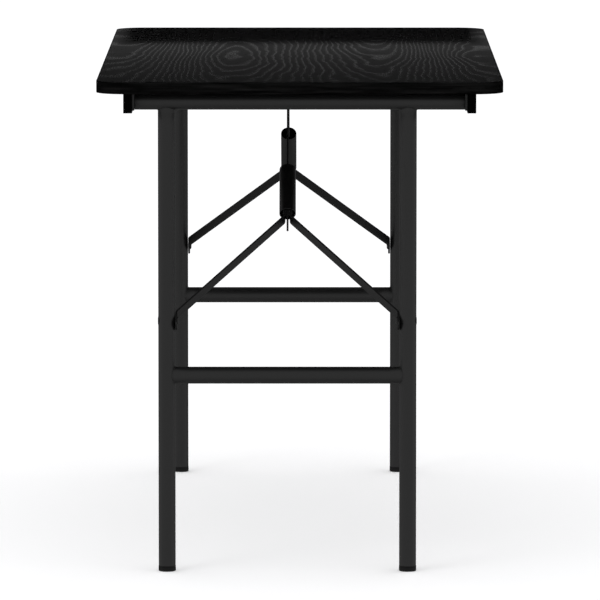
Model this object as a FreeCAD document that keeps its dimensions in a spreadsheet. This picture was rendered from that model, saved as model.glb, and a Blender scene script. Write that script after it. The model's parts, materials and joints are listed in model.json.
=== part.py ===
"""Folding table: a laminated top on two side rails, with a tubular leg set at each end.

Millimetres, +Z up. The origin is on the floor under the centre of the top. +X is to the right
of a person who stands at the front end, and +Y runs from the front leg set to the rear one.

Each leg set hangs on a pivot tube that turns between the side rails. A Y-shaped brace holds it
upright: two flat arms, riveted to the legs, meet on a rivet at the end of a flat strip, which
is pinned under the top. A sleeve on the strip slides down over the joint and locks it straight.
"""
import FreeCAD, Part
import math
import os
import re

import Sketcher

doc = FreeCAD.newDocument("folding_table")

# ---------------------------------------------------------------- driving dimensions
DIMENSIONS = (
    ("top_length", 1219.2, "length of the top, 48 in"),
    ("top_width", 606.4, "width of the top, 23 7/8 in"),
    ("table_height", 736.6, "floor to the top's surface, 29 in"),
    ("corner_radius", 44, "plan radius of the top's corners"),
    ("laminate_thick", 0.8, "decorative laminate on the upper face"),
    ("core_thick", 16.4, "particle board core"),
    ("backer_thick", 0.6, "backing sheet on the lower face"),
    ("band_thick", 1.5, "edge band round the core"),
    ("band_round", 0.7, "rounding of the edge band's outer edges"),
    ("rail_width", 13, "side rail, width of the channel"),
    ("rail_drop", 29.3, "side rail, depth below the top"),
    ("rail_wall", 1.5, "side rail, sheet thickness"),
    ("rail_edge_gap", 40.9, "outer face of a rail to the edge of the top"),
    ("rail_end_gap", 14, "end of a rail to the end of the top"),
    ("plug_flange", 2, "rail plug, flange thickness"),
    ("plug_insert", 15, "rail plug, length inside the channel"),
    ("plug_gap", 0.15, "rail plug, clearance all round"),
    ("screw_shank", 4, "wood screw, shank diameter"),
    ("screw_head", 8, "wood screw, head diameter"),
    ("screw_head_thick", 2.2, "wood screw, head thickness"),
    ("screw_bite", 11, "wood screw, length in the top"),
    ("screw_inset", 90, "rail screw nearest the end of the top"),
    ("bracket_screw_inset", 4.8, "bracket screws, axis to the edge of the web"),
    ("pivot_inset", 38.5, "pivot axis to the end of the top"),
    ("pivot_gap", 0.3, "pivot tube to the underside of the top"),
    ("plate_thick", 3, "pivot plate, thickness"),
    ("plate_ahead", 16, "pivot plate, reach from the pin to the end of the table"),
    ("plate_margin", 7, "pivot plate, from its last rivet to its edge"),
    ("plate_drop", 26.5, "pivot plate, depth below the top"),
    ("pin_diameter", 8, "pivot pin, shank"),
    ("pin_head", 14, "pivot pin, head diameter"),
    ("pin_head_thick", 3, "pivot pin, head thickness"),
    ("bearing_length", 20, "plastic bearing in each end of the pivot tube"),
    ("end_gap", 0.4, "end of the pivot tube to the pivot plate"),
    ("running_gap", 0.05, "radial clearance of a pin that turns"),
    ("fit_gap", 0.1, "radial clearance of a pin or plug that stays put"),
    ("weld_gap", 0.2, "root gap of a welded tube joint"),
    ("tube_diameter", 25.4, "leg, crossbar and pivot tube, 1 in"),
    ("tube_wall", 1.2, "wall of those tubes"),
    ("leg_spacing", 360.4, "between the axes of the two legs of a set"),
    ("leg_shift", -18.5, "middle of the leg sets, from the middle of the top"),
    ("crossbar_drop", 82, "axis of the crossbar below the arm rivets"),
    ("foot_height", 8, "foot cap, height of the visible part"),
    ("foot_lip", 0.3, "foot cap, overhang past the tube"),
    ("foot_insert", 20, "foot cap, length inside the tube"),
    ("foot_round", 1.2, "foot cap, rounding of the lower edge"),
    ("rivet_height", 377, "arm rivet above the floor"),
    ("brace_reach", 376, "pivot axis to the brace pin, level"),
    ("brace_drop", 1.8, "brace pin below the pivot axis"),
    ("elbow_reach", 225.5, "arm rivet to the elbow rivet"),
    ("bar_thick", 3, "arms and strip, thickness"),
    ("arm_width", 17, "arms, width"),
    ("strip_width", 16, "strip, width"),
    ("arm_gap", 1.8, "strip to each arm at the elbow"),
    ("arm_straight", 17, "elbow rivet to the inner bend of an arm"),
    ("tab_straight", 11, "arm rivet to the outer bend of an arm"),
    ("tab_end", 14, "arm rivet to the end of an arm"),
    ("tab_gap", 0.3, "end of an arm to the leg beside it"),
    ("bend_radius", 6, "inside radius of the arms' bends"),
    ("strip_tail", 38.5, "strip past the elbow rivet, between the arms"),
    ("sleeve_gap", 0.72, "lock sleeve, clearance round the corners of the arms"),
    ("sleeve_wall", 1.2, "lock sleeve, wall"),
    ("sleeve_length", 94, "lock sleeve, length"),
    ("sleeve_cover", 5.5, "lock sleeve, reach below the elbow rivet"),
    ("rivet_diameter", 6, "brace rivets and pins, shank"),
    ("rivet_head", 12, "arm rivets, head diameter"),
    ("rivet_head_thick", 2.5, "arm rivets, thickness of the domed head inside the tab"),
    ("rivet_flat_thick", 0.5, "arm rivets, thickness of the flat head outside the leg"),
    ("elbow_head", 10, "elbow rivet and brace pin, head diameter"),
    ("elbow_head_thick", 1.8, "elbow rivet and brace pin, head thickness"),
    ("washer_diameter", 13, "elbow washers, outside"),
    ("bracket_width", 28, "brace bracket, across the ears"),
    ("bracket_length", 28, "brace bracket, along the table"),
    ("bracket_sheet", 2, "brace bracket, sheet thickness"),
    ("bracket_ear", 9, "brace bracket, ear below the pin"),
    ("spacer_diameter", 10, "spacers on the brace pin, outside"),
    ("plate_rivet_gap", 1.8, "pivot tube to the head of the nearer pivot plate rivet"),
    ("plate_rivet_pitch", 13, "between the two rivets of a pivot plate"),
    ("plate_rivet", 4, "pivot plate rivets, shank"),
    ("plate_rivet_head", 7, "pivot plate rivets, head diameter"),
    ("plate_rivet_thick", 1.4, "pivot plate rivets, head thickness"),
)
RAIL_SCREWS = 5  # on each rail
OVERSHOOT = 1  # a cut reaches this far past the faces that it opens
NEAR = 0.01  # an edge this near a level is at that level

sheet = doc.addObject("Spreadsheet::Sheet", "dims")
for row, (alias, value, meaning) in enumerate(DIMENSIONS, start=1):
    sheet.set(f"A{row}", meaning)
    sheet.set(f"B{row}", str(value))
    sheet.setAlias(f"B{row}", alias)
doc.recompute()
ALIASES = {alias for alias, _, _ in DIMENSIONS}

# ---------------------------------------------------------------- places worked out from them
UNDERSIDE = "(table_height - laminate_thick - core_thick - backer_thick)"
PIVOT_Z = f"({UNDERSIDE} - pivot_gap - tube_diameter / 2)"
RAIL_X = "(top_width / 2 - rail_edge_gap - rail_width / 2)"
RAIL_LENGTH = "(top_length - 2 * rail_end_gap)"
PLATE_X = f"({RAIL_X} - rail_width / 2 - plate_thick / 2)"
PLATE_FACE = f"({RAIL_X} - rail_width / 2 - plate_thick)"
CHANNEL_FACE = f"({RAIL_X} - rail_width / 2 + rail_wall)"
LEG_BORE = "(tube_diameter - 2 * tube_wall)"
LEG_FACE = "(leg_spacing / 2 - tube_diameter / 2)"
ARM_FACE = "(bar_thick / 2 + arm_gap)"
BRACE_RISE = f"({PIVOT_Z} - brace_drop - rivet_height)"
BRACE_LENGTH = f"sqrt(brace_reach * brace_reach + {BRACE_RISE} * {BRACE_RISE})"
BRACE_SLOPE = f"atan2({BRACE_RISE}; brace_reach)"
BRACE_PIN_Z = f"({PIVOT_Z} - brace_drop)"
CROSSBAR_Z = "(rivet_height - crossbar_drop)"
RIVET_FIRST = "(tube_diameter / 2 + plate_rivet_head / 2 + plate_rivet_gap)"
PLATE_BEHIND = f"({RIVET_FIRST} + plate_rivet_pitch + plate_margin)"
ARM_HALF = f"({ARM_FACE} + bar_thick)"
SLEEVE_BORE = (f"(2 * (sqrt({ARM_HALF} * {ARM_HALF} + arm_width * arm_width / 4)"
               " + sleeve_gap))")

UNDERSIDE_VALUE = (sheet.table_height - sheet.laminate_thick - sheet.core_thick
                   - sheet.backer_thick)
RAIL_X_VALUE = sheet.top_width / 2 - sheet.rail_edge_gap - sheet.rail_width / 2

SIDES = (("left", -1), ("right", 1))
ENDS = (("front", 1), ("rear", -1))  # the number points from that end to the middle


def pivot_y(inward):
    return f"(-({inward}) * (top_length / 2 - pivot_inset))"


def brace_pin_y(inward):
    return f"(-({inward}) * (top_length / 2 - pivot_inset - brace_reach))"


# ---------------------------------------------------------------- helpers
def formula(text):
    """Turn the aliases in a text into references to the sheet."""
    return re.sub(r"[a-z_]+", lambda m: f"dims.{m[0]}" if m[0] in ALIASES else m[0], str(text))


def bind(target, **sizes):
    for name, text in sizes.items():
        target.setExpression(name.replace("__", "."), formula(text))


SUB_PARTS = []


def new_part(label):
    """Start a sub-part: a body of its own, which may hold several equal solids."""
    body = doc.addObject("PartDesign::Body", label)
    body.Label = label
    body.AllowCompound = True
    SUB_PARTS.append(body)
    return body


def place(body, x, y, z, tilt=None):
    """Put a finished body at its place, tilted about X if it lies along a brace."""
    if tilt is not None:
        body.Placement.Rotation = FreeCAD.Rotation(FreeCAD.Vector(1, 0, 0), 10)
        bind(body, Placement__Rotation__Angle=tilt)
    bind(body, Placement__Base__x=x, Placement__Base__y=y, Placement__Base__z=z)


def block(body, centre, size, cut=False):
    """Add a box to the body, or cut one from it, by its centre and its three sizes."""
    kind = "SubtractiveBox" if cut else "AdditiveBox"
    box = body.newObject(f"PartDesign::{kind}", f"{body.Name}_box")
    bind(box, Length=size[0], Width=size[1], Height=size[2])
    for axis, middle, extent in zip("xyz", centre, size):
        bind(box, **{f"Placement__Base__{axis}": f"({middle}) - ({extent}) / 2"})
    return box


TURNS = {"x": ((0, 1, 0), 90), "y": ((1, 0, 0), -90), "z": ((0, 0, 1), 0)}


def rod(body, axis, centre, diameter, length, cut=False):
    """Add a round bar along an axis to the body, or cut one from it, by its centre."""
    kind = "SubtractiveCylinder" if cut else "AdditiveCylinder"
    bar = body.newObject(f"PartDesign::{kind}", f"{body.Name}_rod")
    bind(bar, Radius=f"({diameter}) / 2", Height=length)
    direction, angle = TURNS[axis]
    bar.Placement.Rotation = FreeCAD.Rotation(FreeCAD.Vector(*direction), angle)
    for name, middle in zip("xyz", centre):
        shift = f" - ({length}) / 2" if name == axis else ""
        bind(bar, **{f"Placement__Base__{name}": f"({middle}){shift}"})
    return bar


def hollow(body, axis, centre, diameter, wall, length):
    """Add a tube and bore it out."""
    rod(body, axis, centre, diameter, length)
    rod(body, axis, centre, f"({diameter}) - 2 * {wall}", f"{length} + 2 * {OVERSHOOT}", cut=True)


def round_edges(body, radius, wanted):
    """Fillet the edges of the body's last feature that the test picks."""
    doc.recompute()
    base = body.Tip
    names = [f"Edge{i}" for i, edge in enumerate(base.Shape.Edges, start=1) if wanted(edge)]
    if not names:
        raise RuntimeError(f"{body.Label}: no edge to round")
    fillet = body.newObject("PartDesign::Fillet", f"{body.Name}_fillet")
    fillet.Base = (base, names)
    bind(fillet, Radius=radius)
    return fillet


def along(axis, where=lambda point: True):
    """A test for straight edges parallel to an axis whose middle passes a second test."""
    index = "xyz".index(axis)

    def wanted(edge):
        if not isinstance(edge.Curve, Part.Line) or not where(edge.BoundBox.Center):
            return False
        return abs(tuple(edge.tangentAt(edge.FirstParameter))[index]) > 0.999

    return wanted


def circle_at(axis, where):
    """A test for whole circles about an axis whose centre passes a second test."""
    index = "xyz".index(axis)

    def wanted(edge):
        if not isinstance(edge.Curve, Part.Circle) or not edge.isClosed():
            return False
        return abs(tuple(edge.Curve.Axis)[index]) > 0.999 and where(edge.Curve.Center)

    return wanted


def base_plane(body, role="XY_Plane"):
    return next(item for item in body.Origin.OriginFeatures if item.Role == role)


def rounded_rectangle(sketch, width, length, radius, start_values):
    """Draw a rectangle with round corners about the sketch's origin, bound to three texts."""
    half_x, half_y, corner = start_values
    first = sketch.GeometryCount
    corners = ((1, 1, 0), (-1, 1, 90), (-1, -1, 180), (1, -1, 270))
    for sign_x, sign_y, angle in corners:
        middle = FreeCAD.Vector(sign_x * (half_x - corner), sign_y * (half_y - corner), 0)
        circle = Part.Circle(middle, FreeCAD.Vector(0, 0, 1), corner)
        turn = math.radians(angle)
        sketch.addGeometry(Part.ArcOfCircle(circle, turn, turn + math.pi / 2), False)
    for index in range(4):
        start = sketch.Geometry[first + index].EndPoint
        end = sketch.Geometry[first + (index + 1) % 4].StartPoint
        sketch.addGeometry(Part.LineSegment(start, end), False)
    for index in range(4):
        line = first + 4 + index
        sketch.addConstraint(Sketcher.Constraint("Tangent", first + index, 2, line, 1))
        sketch.addConstraint(Sketcher.Constraint("Tangent", line, 2, first + (index + 1) % 4, 1))
        if index:
            sketch.addConstraint(Sketcher.Constraint("Equal", first, first + index))
    sketch.addConstraint(Sketcher.Constraint("Horizontal", first + 4))
    sketch.addConstraint(Sketcher.Constraint("Vertical", first + 5))
    sketch.addConstraint(Sketcher.Constraint("Symmetric", first + 4, 1, first + 6, 1, -1, 1))
    sized = (("Radius", (first, corner), radius),
             ("DistanceX", (-1, 1, first + 7, 1, half_x), f"({width}) / 2"),
             ("DistanceY", (-1, 1, first + 4, 1, half_y), f"({length}) / 2"))
    for kind, where, text in sized:
        number = sketch.addConstraint(Sketcher.Constraint(kind, *where))
        sketch.setExpression(f"Constraints[{number}]", formula(text))


def slab(label, outlines, thickness, bottom):
    """A flat sheet with one or two round-cornered outlines, the second one a window."""
    body = new_part(label)
    sketch = body.newObject("Sketcher::SketchObject", f"{label}_outline")
    sketch.AttachmentSupport = (base_plane(body), "")
    sketch.MapMode = "FlatFace"
    for shrink in outlines:
        inset = 0 if shrink == "0" else sheet.band_thick
        start = (sheet.top_width / 2 - inset, sheet.top_length / 2 - inset,
                 sheet.corner_radius - inset)
        rounded_rectangle(sketch, f"top_width - 2 * {shrink}", f"top_length - 2 * {shrink}",
                          f"corner_radius - {shrink}", start)
    pad = body.newObject("PartDesign::Pad", f"{label}_pad")
    pad.Profile = sketch
    bind(pad, Length=thickness)
    place(body, "0", "0", bottom)
    return body


def screw(body, x, y, top_face, sheet_face):
    """A pan-head wood screw that points up: its head under a sheet, its tip in the core."""
    rod(body, "z", (x, y, f"{sheet_face} - screw_head_thick / 2"), "screw_head",
        "screw_head_thick")
    length = f"({top_face} + screw_bite - ({sheet_face}))"
    rod(body, "z", (x, y, f"{sheet_face} + {length} / 2"), "screw_shank", length)


def screw_hole(body, x, y, bottom, depth):
    """A hole for such a screw, from a level upwards."""
    rod(body, "z", (x, y, f"{bottom} + ({depth}) / 2"), "screw_shank + 2 * fit_gap", depth,
        cut=True)


# ---------------------------------------------------------------- where the screws go
def rail_screw_places():
    """Places of the screws that hold the rails, spaced evenly along them."""
    for _, side in SIDES:
        for index in range(RAIL_SCREWS):
            share = 2 * index / (RAIL_SCREWS - 1) - 1
            yield side, f"{side} * {RAIL_X}", f"({share}) * (top_length / 2 - screw_inset)"


def bracket_screw_places(inward):
    """Places of the four screws that hold a brace bracket, around its pin."""
    for _, side in SIDES:
        for along_y in (-1, 1):
            yield (f"leg_shift + ({side}) * bracket_width / 4",
                   f"{brace_pin_y(inward)} + ({along_y}) * "
                   "(bracket_length / 2 - bracket_screw_inset)")


# ---------------------------------------------------------------- the top
def make_top():
    core_bottom = f"({UNDERSIDE} + backer_thick)"
    core = slab("top_core", ("band_thick",), "core_thick", core_bottom)
    backer = slab("top_backer", ("band_thick",), "backer_thick", UNDERSIDE)
    slab("top_laminate", ("band_thick",), "laminate_thick", f"{core_bottom} + core_thick")
    places = [(x, y) for _, x, y in rail_screw_places()]
    places += [spot for _, inward in ENDS for spot in bracket_screw_places(inward)]
    for x, y in places:
        screw_hole(core, x, y, f"-{OVERSHOOT}",
                   f"screw_bite + {OVERSHOOT} - backer_thick + fit_gap")
        screw_hole(backer, x, y, f"-{OVERSHOOT}", f"backer_thick + 2 * {OVERSHOOT}")

    thickness = f"(table_height - {UNDERSIDE})"
    band = slab("edge_band", ("0", "band_thick"), thickness, UNDERSIDE)
    doc.recompute()
    rims = [face.OuterWire for face in band.Tip.Shape.Faces
            if isinstance(face.Surface, Part.Plane) and abs(face.normalAt(0, 0).z) > 0.999]
    outer = [edge for rim in rims for edge in rim.Edges]
    round_edges(band, "band_round", lambda edge: any(edge.isSame(other) for other in outer))


# ---------------------------------------------------------------- the rails
def make_rail(name, side):
    rail = new_part(f"rail_{name}")
    x = f"({side}) * {RAIL_X}"
    block(rail, (x, "0", f"{UNDERSIDE} - rail_drop / 2"), ("rail_width", RAIL_LENGTH, "rail_drop"))
    block(rail, (x, "0", f"{UNDERSIDE} - rail_wall - rail_drop / 2"),
          ("rail_width - 2 * rail_wall", f"{RAIL_LENGTH} + 2 * {OVERSHOOT}", "rail_drop"),
          cut=True)

    def outer_top_edge(point):
        across = abs(abs(point.x) - RAIL_X_VALUE)
        return point.z > UNDERSIDE_VALUE - NEAR and across > sheet.rail_width / 2 - NEAR

    round_edges(rail, "rail_wall / 2", along("y", outer_top_edge))
    for spot_side, spot_x, spot_y in rail_screw_places():
        if spot_side == side:
            screw_hole(rail, spot_x, spot_y, f"{UNDERSIDE} - rail_wall - {OVERSHOOT}",
                       f"rail_wall + 2 * {OVERSHOOT}")
    inner_flange = f"({side}) * ({CHANNEL_FACE} - rail_wall / 2)"
    for _, inward in ENDS:
        rod(rail, "x", (inner_flange, pivot_y(inward), PIVOT_Z), "pin_diameter + 2 * fit_gap",
            f"rail_wall + {OVERSHOOT}", cut=True)
        for y in plate_rivet_places(inward):
            rod(rail, "x", (inner_flange, y, PIVOT_Z), "plate_rivet + 2 * fit_gap",
                f"rail_wall + {OVERSHOOT}", cut=True)


def plate_rivet_places(inward):
    """The two rivets of a pivot plate, both on the side of its pin that faces the middle."""
    return [f"{pivot_y(inward)} + ({inward}) * ({RIVET_FIRST} + {index} * plate_rivet_pitch)"
            for index in (0, 1)]


def make_rail_plug(end_name, inward, name, side):
    """A plastic plug in an end of a rail: a flange over the end and a block inside it."""
    plug = new_part(f"rail_plug_{end_name}_{name}")
    x = f"({side}) * {RAIL_X}"
    face = f"-({inward}) * {RAIL_LENGTH} / 2"
    block(plug, (x, f"{face} - ({inward}) * plug_flange / 2", f"{UNDERSIDE} - rail_drop / 2"),
          ("rail_width", "plug_flange", "rail_drop"))
    depth = "(rail_drop - rail_wall - plug_gap)"
    block(plug, (x, f"{face} + ({inward}) * plug_insert / 2",
                 f"{UNDERSIDE} - rail_drop + {depth} / 2"),
          ("rail_width - 2 * rail_wall - 2 * plug_gap", "plug_insert", depth))


def make_pivot_plate(end_name, inward, name, side):
    """The steel plate that doubles the rail's inner wall where the pivot pin goes through."""
    plate = new_part(f"pivot_plate_{end_name}_{name}")
    x = f"({side}) * {PLATE_X}"
    middle_y = f"{pivot_y(inward)} + ({inward}) * ({PLATE_BEHIND} - plate_ahead) / 2"
    block(plate, (x, middle_y, f"{UNDERSIDE} - plate_drop / 2"),
          ("plate_thick", f"plate_ahead + {PLATE_BEHIND}", "plate_drop"))
    round_edges(plate, "plate_drop / 4",
                along("x", lambda point: point.z < UNDERSIDE_VALUE - sheet.plate_drop + NEAR))
    rod(plate, "x", (x, pivot_y(inward), PIVOT_Z), "pin_diameter + 2 * fit_gap",
        f"plate_thick + {OVERSHOOT}", cut=True)
    for y in plate_rivet_places(inward):
        rod(plate, "x", (x, y, PIVOT_Z), "plate_rivet + 2 * fit_gap",
            f"plate_thick + {OVERSHOOT}", cut=True)


def make_rail_fasteners():
    screws = new_part("rail_screws")
    for _, x, y in rail_screw_places():
        screw(screws, x, y, UNDERSIDE, f"({UNDERSIDE} - rail_wall)")

    rivets = new_part("plate_rivets")
    pins = new_part("pivot_pins")
    for _, inward in ENDS:
        for _, side in SIDES:
            for y in plate_rivet_places(inward):
                grip = "(plate_thick + rail_wall)"
                rod(rivets, "x", (f"({side}) * ({PLATE_FACE} + {grip} / 2)", y, PIVOT_Z),
                    "plate_rivet", grip)
                for head in (f"{PLATE_FACE} - plate_rivet_thick / 2",
                             f"{CHANNEL_FACE} + plate_rivet_thick / 2"):
                    rod(rivets, "x", (f"({side}) * ({head})", y, PIVOT_Z), "plate_rivet_head",
                        "plate_rivet_thick")
            y = pivot_y(inward)
            shank = "(rail_wall + plate_thick + end_gap + bearing_length)"
            rod(pins, "x", (f"({side}) * ({CHANNEL_FACE} - {shank} / 2)", y, PIVOT_Z),
                "pin_diameter", shank)
            rod(pins, "x", (f"({side}) * ({CHANNEL_FACE} + pin_head_thick / 2)", y, PIVOT_Z),
                "pin_head", "pin_head_thick")


# ---------------------------------------------------------------- the brackets of the braces
def make_brace_bracket(end_name, inward):
    """A channel-shaped bracket under the top: a web with four screws and two ears."""
    bracket = new_part(f"{end_name}_brace_bracket")
    y = brace_pin_y(inward)
    drop = f"({UNDERSIDE} - {BRACE_PIN_Z} + bracket_ear)"
    middle_z = f"{UNDERSIDE} - {drop} / 2"
    block(bracket, ("leg_shift", y, middle_z), ("bracket_width", "bracket_length", drop))
    block(bracket, ("leg_shift", y, f"{middle_z} - bracket_sheet"),
          ("bracket_width - 2 * bracket_sheet", f"bracket_length + 2 * {OVERSHOOT}", drop),
          cut=True)
    low = UNDERSIDE_VALUE - 2 * sheet.bracket_sheet
    round_edges(bracket, "bracket_length / 4", along("x", lambda point: point.z < low))
    rod(bracket, "x", ("leg_shift", y, BRACE_PIN_Z), "rivet_diameter + 2 * fit_gap",
        f"bracket_width + 2 * {OVERSHOOT}", cut=True)
    for spot_x, spot_y in bracket_screw_places(inward):
        screw_hole(bracket, spot_x, spot_y, f"{UNDERSIDE} - bracket_sheet - {OVERSHOOT}",
                   f"bracket_sheet + 2 * {OVERSHOOT}")


def make_bracket_fasteners():
    screws = new_part("bracket_screws")
    pins = new_part("brace_pins")
    spacers = new_part("brace_spacers")
    for _, inward in ENDS:
        for x, y in bracket_screw_places(inward):
            screw(screws, x, y, UNDERSIDE, f"({UNDERSIDE} - bracket_sheet)")
        y = brace_pin_y(inward)
        rod(pins, "x", ("leg_shift", y, BRACE_PIN_Z), "rivet_diameter",
            "bracket_width + 2 * elbow_head_thick")
        for _, side in SIDES:
            rod(pins, "x", (f"leg_shift + ({side}) * (bracket_width / 2 + elbow_head_thick / 2)",
                            y, BRACE_PIN_Z), "elbow_head", "elbow_head_thick")
        inside = "(bracket_width / 2 - bracket_sheet)"
        length = f"({inside} - bar_thick / 2 - tab_gap)"
        for _, side in SIDES:
            centre = (f"leg_shift + ({side}) * ({inside} - {length} / 2)", y, BRACE_PIN_Z)
            rod(spacers, "x", centre, "spacer_diameter", length)
            rod(spacers, "x", centre, "rivet_diameter + 2 * fit_gap",
                f"{length} + 2 * running_gap", cut=True)


# ---------------------------------------------------------------- a leg set
def make_leg_set(end_name, inward):
    y = pivot_y(inward)
    tube_length = f"(2 * ({PLATE_FACE} - end_gap))"

    pivot_tube = new_part(f"{end_name}_pivot_tube")
    hollow(pivot_tube, "x", ("0", y, PIVOT_Z), "tube_diameter", "tube_wall", tube_length)

    bearings = new_part(f"{end_name}_pivot_bearings")
    for _, side in SIDES:
        centre = (f"({side}) * ({tube_length} / 2 - bearing_length / 2)", y, PIVOT_Z)
        rod(bearings, "x", centre, f"{LEG_BORE} - 2 * fit_gap", "bearing_length")
        rod(bearings, "x", centre, "pin_diameter + 2 * running_gap",
            f"bearing_length + 2 * {OVERSHOOT}", cut=True)

    leg_length = f"({PIVOT_Z} - foot_height)"
    for name, side in SIDES:
        x = f"leg_shift + ({side}) * leg_spacing / 2"
        leg = new_part(f"{end_name}_leg_{name}")
        hollow(leg, "z", (x, y, f"foot_height + {leg_length} / 2"), "tube_diameter", "tube_wall",
               leg_length)
        rod(leg, "x", (x, y, PIVOT_Z), "tube_diameter + 2 * weld_gap", "2 * tube_diameter",
            cut=True)
        rod(leg, "x", (x, y, "rivet_height"), "rivet_diameter + 2 * fit_gap", "2 * tube_diameter",
            cut=True)

        foot = new_part(f"{end_name}_foot_{name}")
        rod(foot, "z", (x, y, "foot_height / 2"), "tube_diameter + 2 * foot_lip", "foot_height")
        rod(foot, "z", (x, y, "foot_height + foot_insert / 2"), f"{LEG_BORE} - 2 * fit_gap",
            "foot_insert")
        round_edges(foot, "foot_round", circle_at("z", lambda point: point.z < NEAR))

    crossbar = new_part(f"{end_name}_crossbar")
    hollow(crossbar, "x", ("leg_shift", y, CROSSBAR_Z), "tube_diameter", "tube_wall",
           "leg_spacing")
    for _, side in SIDES:
        rod(crossbar, "z", (f"leg_shift + ({side}) * leg_spacing / 2", y, CROSSBAR_Z),
            "tube_diameter + 2 * weld_gap", "2 * tube_diameter", cut=True)

    rivets = new_part(f"{end_name}_leg_rivets")
    for _, side in SIDES:
        rod(rivets, "x", (f"leg_shift + ({side}) * leg_spacing / 2", y, "rivet_height"),
            "rivet_diameter", "tube_diameter")
        head = f"leg_shift + ({side}) * (leg_spacing / 2 + (tube_diameter + rivet_flat_thick) / 2)"
        rod(rivets, "x", (head, y, "rivet_height"), "rivet_head", "rivet_flat_thick")
    reach = sheet.leg_spacing / 2 + sheet.tube_diameter / 2 + sheet.rivet_flat_thick - NEAR
    outermost = circle_at("x", lambda point: abs(point.x - sheet.leg_shift) > reach)
    round_edges(rivets, "rivet_flat_thick / 2", outermost)


# ---------------------------------------------------------------- a brace
def place_on_brace(body, inward):
    """Lay a body along a brace: local +Y, times the inward sign, runs up the slope."""
    place(body, "leg_shift", pivot_y(inward), "rivet_height", f"({inward}) * {BRACE_SLOPE}")


def make_arm(end_name, inward, name, side):
    """A flat bar on edge: a tab beside the leg, a slanted run and a short end at the elbow."""
    arm = new_part(f"{end_name}_arm_{name}")
    sketch = arm.newObject("Sketcher::SketchObject", f"{arm.Name}_outline")
    sketch.AttachmentSupport = (base_plane(arm), "")
    sketch.MapMode = "FlatFace"

    tab_face = f"({LEG_FACE} - tab_gap - bar_thick)"
    near = sheet.bar_thick / 2 + sheet.arm_gap
    far = sheet.leg_spacing / 2 - sheet.tube_diameter / 2 - sheet.tab_gap - sheet.bar_thick
    levels = (sheet.elbow_reach + sheet.arm_width / 2, sheet.elbow_reach - sheet.arm_straight,
              sheet.tab_straight, -sheet.tab_end)
    inner = [(near, levels[0]), (near, levels[1]), (far, levels[2]), (far, levels[3])]
    outer = [(x + sheet.bar_thick, s) for x, s in reversed(inner)]
    ring = [FreeCAD.Vector(side * x, inward * s, 0) for x, s in inner + outer]
    for start, end in zip(ring, ring[1:] + ring[:1]):
        sketch.addGeometry(Part.LineSegment(start, end), False)
    for index in range(8):
        sketch.addConstraint(Sketcher.Constraint("Coincident", index, 2, (index + 1) % 8, 1))
    for index in (0, 2, 4, 6):
        sketch.addConstraint(Sketcher.Constraint("Vertical", index))
    for index in (3, 7):
        sketch.addConstraint(Sketcher.Constraint("Horizontal", index))
    sketch.addConstraint(Sketcher.Constraint("Parallel", 1, 5))
    sized = (("DistanceX", (-1, 1, 0, 1), f"({side}) * {ARM_FACE}"),
             ("DistanceX", (-1, 1, 6, 2), f"({side}) * ({ARM_FACE} + bar_thick)"),
             ("DistanceX", (-1, 1, 2, 2), f"({side}) * {tab_face}"),
             ("DistanceX", (-1, 1, 4, 1), f"({side}) * ({tab_face} + bar_thick)"),
             ("DistanceY", (-1, 1, 0, 1), f"({inward}) * (elbow_reach + arm_width / 2)"),
             ("DistanceY", (-1, 1, 1, 1), f"({inward}) * (elbow_reach - arm_straight)"),
             ("DistanceY", (-1, 1, 2, 1), f"({inward}) * tab_straight"),
             ("DistanceY", (-1, 1, 3, 1), f"({inward}) * -tab_end"))
    for kind, where, text in sized:
        point = sketch.Geometry[where[2]]
        point = point.StartPoint if where[3] == 1 else point.EndPoint
        value = point.x if kind == "DistanceX" else point.y
        number = sketch.addConstraint(Sketcher.Constraint(kind, *where, value))
        sketch.setExpression(f"Constraints[{number}]", formula(text))
    number = sketch.addConstraint(Sketcher.Constraint("Distance", 5, 2, 1, sheet.bar_thick))
    sketch.setExpression(f"Constraints[{number}]", formula("bar_thick"))

    pad = arm.newObject("PartDesign::Pad", f"{arm.Name}_pad")
    pad.Profile = sketch
    pad.Midplane = True
    bind(pad, Length="arm_width")

    def bend(outside):
        """A test for the edges on the outside, or on the inside, of the two bends."""
        def wanted(point):
            level = inward * point.y
            if abs(level - sheet.tab_straight) < sheet.bar_thick:
                return (abs(point.x) > far + sheet.bar_thick / 2) == outside
            at_elbow = abs(level - sheet.elbow_reach + sheet.arm_straight) < sheet.bar_thick
            return at_elbow and (abs(point.x) < near + sheet.bar_thick / 2) == outside

        return along("z", wanted)

    round_edges(arm, "bend_radius", bend(outside=False))
    round_edges(arm, "bend_radius + bar_thick", bend(outside=True))
    tip = sheet.elbow_reach + sheet.arm_width / 2 - NEAR
    round_edges(arm, "arm_width / 2 - fit_gap", along("x", lambda point: inward * point.y > tip))
    heel = -sheet.tab_end + NEAR
    round_edges(arm, "arm_width / 4", along("x", lambda point: inward * point.y < heel))

    for x, reach in ((f"({side}) * {tab_face}", "0"), (f"({side}) * {ARM_FACE}", "elbow_reach")):
        rod(arm, "x", (x, f"({inward}) * {reach}", "0"), "rivet_diameter + 2 * fit_gap",
            "4 * bar_thick", cut=True)
    place_on_brace(arm, inward)


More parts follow.
